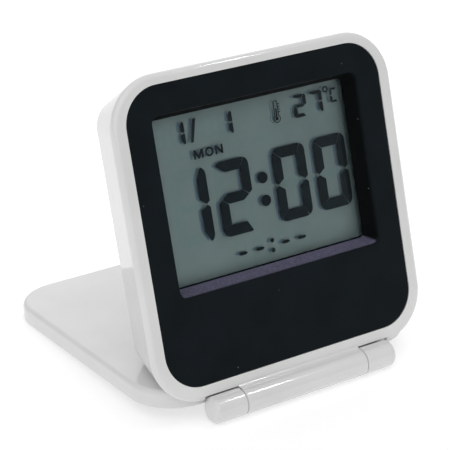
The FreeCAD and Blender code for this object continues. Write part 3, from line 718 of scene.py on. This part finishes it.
dayNames = ["SUN", "MON", "TUE", "WED", "THU", "FRI", "SAT"]
smallTexts = ((" 1", screen["monthX"]), (" 1", screen["dayX"]), ("27", screen["degreesX"]))
# how the drawings lie: behind the front of the crystal, or before the film
layers = {"rise": 0.3, "thick": 0.03, "crystalGap": 0.005, "filmThick": 0.015, "shadeGap": 0.04,
          "restingGap": 0.02, "shadeShift": (-0.6, 0.1), "borderSide": 0.9, "borderFoot": 0.6}
lettering = {"capShare": 0.72, "weight": 0.035, "spacing": 1.02, "merge": 0.001}  # as shares of the size


def textMesh(word, height):
    # flat letters of that capital height, with their left end at zero
    curve = bpy.data.curves.new("word", "FONT")
    curve.body = word
    curve.size = height / lettering["capShare"]
    curve.offset = height * lettering["weight"]
    curve.space_character = lettering["spacing"]
    writing = bpy.data.objects.new("word", curve)
    scene.collection.objects.link(writing)
    bpy.context.view_layer.update()
    mesh = bpy.data.meshes.new_from_object(writing.evaluated_get(bpy.context.evaluated_depsgraph_get()))
    bpy.data.objects.remove(writing)
    part = bmesh.new()
    part.from_mesh(mesh)
    bpy.data.meshes.remove(mesh)
    bmesh.ops.remove_doubles(part, verts=part.verts, dist=lettering["merge"])
    left = min(v.co.x for v in part.verts)
    bmesh.ops.translate(part, verts=part.verts, vec=(-left, 0, 0))
    return part, max(v.co.x for v in part.verts)


def addRestingNames(bm):
    # the other day names, which only show as a shade on the display
    s = screen
    parts = {name: textMesh(name, s["nameHeight"]) for name in dayNames}
    x = s["nameX"] - s["nameGap"] - parts["SUN"][1]
    for name, (part, width) in parts.items():
        part.transform(Matrix.Translation((x, s["nameY"], 0)))
        x += (s["nameWidth"] if name == "MON" else width) + s["nameGap"]
        if name == "MON":
            part.free()
        else:
            mergeInto(bm, part)


def drawSegments(bm, off=False):
    s = screen
    addDigits(bm, s["time"].replace(":", ""), s["timeX"], s["timeY"], digit["width"], digit["height"], off)
    for text, places in smallTexts:
        addDigits(bm, text, places, s["smallY"], s["smallWidth"], s["smallHeight"], off)
    addDigits(bm, "----", s["alarmX"], s["alarmY"], s["alarmWidth"], s["alarmHeight"], off)


def drawLit(bm):
    s = screen
    drawSegments(bm)
    for y in s["colonY"]:
        addDot(bm, s["colonX"], y, s["colonR"])
    addOutline(bm, s["slash"])
    addRing(bm, s["ringX"], s["ringY"], s["ringIn"], s["ringOut"])
    addDigits(bm, "C", (s["unitX"],), s["unitY"], s["unitWidth"], s["unitHeight"])
    for y in s["alarmDotY"]:
        addDot(bm, s["alarmDotX"], y, s["alarmDotR"])
    addThermometer(bm)
    addMon(bm, s["nameX"], s["nameY"], s["nameHeight"])


def layPlates(name, bm, front, thick, material, stands=()):
    # gives the flat drawing its thickness and puts it at a depth from the hinge, in metres
    bmesh.ops.recalc_face_normals(bm, faces=bm.faces)
    for face in bm.faces:
        if face.normal.z < 0:
            face.normal_flip()
    grown = bmesh.ops.extrude_face_region(bm, geom=bm.faces[:])
    bmesh.ops.translate(bm, verts=movedVerts(grown), vec=(0, 0, thick))
    for face in bm.faces:
        face.smooth = False
    place = clockPlace(front + thick * mm, layerLow.z + layers["rise"] * mm)
    bmesh.ops.transform(bm, matrix=place, verts=bm.verts)
    bmesh.ops.recalc_face_normals(bm, faces=bm.faces)
    addPiece(name, bm, "clock", material, stands)


crystalFront = layerLow.y + layers["crystalGap"] * mm
reflectorFront = clockBox("lcd_reflector")[0].y


def litSegments():
    bm = bmesh.new()
    drawLit(bm)
    layPlates("litSegments", bm, crystalFront, layers["thick"], crystalOn,
              ("lcd_segment_layer",))


def segmentShade():
    # the same drawing on the film, a little to the left, where the light from the right throws its shade
    bm = bmesh.new()
    drawLit(bm)
    bmesh.ops.translate(bm, verts=bm.verts, vec=(*layers["shadeShift"], 0))
    front = reflectorFront - layers["shadeGap"] * mm
    layPlates("segmentShade", bm, front, layers["filmThick"], crystalShade)


def displayBorderShade():
    # black frame around the crystal, where the glasses are glued; it ends just outside the window, and it
    # also stands in as painted shade for the soft darkening along the window's edges
    rearLow, rearHigh = clockBox("lcd_rear_glass")
    half = rearHigh.x / mm
    low = -layers["rise"]
    high = (rearHigh.z - rearLow.z) / mm - layers["rise"]
    side, foot = layers["borderSide"], layers["borderFoot"]
    bm = bmesh.new()
    addBar(bm, -half, low, -half + side, high)
    addBar(bm, half - side, low, half, high)
    addBar(bm, -half + side, low, half - side, low + foot)
    addBar(bm, -half + side, high - foot, half - side, high)
    layPlates("displayBorderShade", bm, crystalFront, layers["thick"], crystalOn)


def restingSegments():
    bm = bmesh.new()
    drawSegments(bm, True)
    addRestingNames(bm)
    front = reflectorFront - layers["restingGap"] * mm
    layPlates("restingSegments", bm, front, layers["filmThick"], crystalOff)


litSegments()
segmentShade()
displayBorderShade()
restingSegments()
print("display drawn")


# floor, light and camera

floorFinish = {"light": "#D6D6D6", "dark": "#D0D0D0", "half": 2000, "cloud": 300, "rough": 0.9,
               "glow": 0.45, "glowFull": 400, "glowEnd": 2000}


def floorSheet():
    # white table, lit a little from below, so that no hard shadow shows under the clock
    finish = floorFinish
    bm = bmesh.new()
    bmesh.ops.create_grid(bm, x_segments=1, y_segments=1, size=finish["half"] * mm)
    mesh = bpy.data.meshes.new("floorSheet")
    bm.to_mesh(mesh)
    bm.free()
    sheet = bpy.data.objects.new("floorSheet", mesh)
    scene.collection.objects.link(sheet)
    material, tree, spot = startMaterial("whiteTable")
    reach = vectorOf(tree, "LENGTH", "Value", spot)
    glow = rangeOf(tree, reach, finish["glow"], 0, finish["glowFull"] * mm, finish["glowEnd"] * mm)
    cloud = noiseOf(tree, spot, finish["cloud"], 2)
    endPrincipled(tree, {
        "Base Color": toneOf(tree, cloud, finish), "Roughness": finish["rough"],
        "Specular IOR Level": 0.0, "Emission Color": (1, 1, 1, 1), "Emission Strength": glow})
    mesh.materials.append(material)


def directionTo(azimuth, elevation):
    # azimuth from the front, positive to the right
    a, e = math.radians(azimuth), math.radians(elevation)
    return Vector((math.sin(a) * math.cos(e), -math.cos(a) * math.cos(e), math.sin(e)))


boxMiddle = (cadBounds[0] + cadBounds[1]) / 2
softboxes = {  # azimuth, elevation, distance in m, width and height in m, roll, power in W, colour
    "rightSoftbox": (78, 25, 0.42, 0.3, 0.3, 0, 0.05, "#FFFBF6"),
    "leftSoftbox": (-100, 40, 0.8, 0.6, 0.6, 0, 0.2, "#FFFFFF"),
    "stripLight": (54, 53, 0.7, 0.12, 0.018, 50, 0.3, "#FFFFFF"),
}


def aimAt(thing, direction, roll):
    lean = Matrix.Rotation(math.radians(roll), 3, "Z")
    thing.rotation_euler = (direction.to_track_quat("Z", "Y").to_matrix() @ lean).to_euler()


def addLights():
    for name, (azimuth, elevation, distance, width, height, roll, power, colour) in softboxes.items():
        light = bpy.data.lights.new(name, "AREA")
        light.shape = "RECTANGLE"
        light.size = width
        light.size_y = height
        light.energy = power
        light.color = linearColour(colour)[:3]
        lamp = bpy.data.objects.new(name, light)
        scene.collection.objects.link(lamp)
        direction = directionTo(azimuth, elevation)
        lamp.location = boxMiddle + direction * distance
        aimAt(lamp, direction, roll)


# the room: a dim ground tone with broad soft patches, each as azimuth, elevation, tightness and strength
sky = {"ground": 0.32, "patches": {
    "above": (0, 90, 2, 0.55),
    "left": (-90, 15, 5, 0.15),
    "frontLeft": (-45, 25, 8, 0.84),
    "frontHigh": (-20, 65, 6, 0.58),
    "behind": (147, 24, 8, 1.0),
    "dimCorner": (30, 3.3, 25, -0.25),
}}


def addSky():
    world = bpy.data.worlds.new("studio")
    scene.world = world
    world.use_nodes = True
    tree = world.node_tree
    tree.nodes.clear()
    direction = addNode(tree, "ShaderNodeTexCoord").outputs["Generated"]
    total = sky["ground"]
    for azimuth, elevation, tightness, strength in sky["patches"].values():
        along = dotOf(tree, direction, directionTo(azimuth, elevation))
        shape = mathOf(tree, "POWER", mathOf(tree, "MAXIMUM", along, 0.0), tightness)
        total = mathOf(tree, "MULTIPLY_ADD", shape, strength, total)
    light = addNode(tree, "ShaderNodeBackground", None, {"Color": (1, 1, 1, 1), "Strength": total})
    addNode(tree, "ShaderNodeOutputWorld", None, {"Surface": light.outputs[0]})


# aim is from the middle of the box; shiftUp is a share of the frame
view = {"azimuth": -32.98, "elevation": 24.05, "roll": -0.4, "distance": 403.16, "lens": 139.1,
        "sensor": 36, "aim": (-7.03, -15.13, -2.24), "shiftUp": 0.0025, "nearest": 10}


def addCamera():
    data = bpy.data.cameras.new("mainCamera")
    data.lens = view["lens"]
    data.sensor_width = view["sensor"]
    data.shift_y = view["shiftUp"]
    data.clip_start = view["nearest"] * mm
    camera = bpy.data.objects.new("mainCamera", data)
    scene.collection.objects.link(camera)
    direction = directionTo(view["azimuth"], view["elevation"])
    camera.location = boxMiddle + Vector(view["aim"]) * mm + direction * view["distance"] * mm
    aimAt(camera, direction, view["roll"])
    scene.camera = camera


floorSheet()
addLights()
addSky()
addCamera()
scene.view_settings.view_transform = "Standard"
print("stage, lights and camera placed")
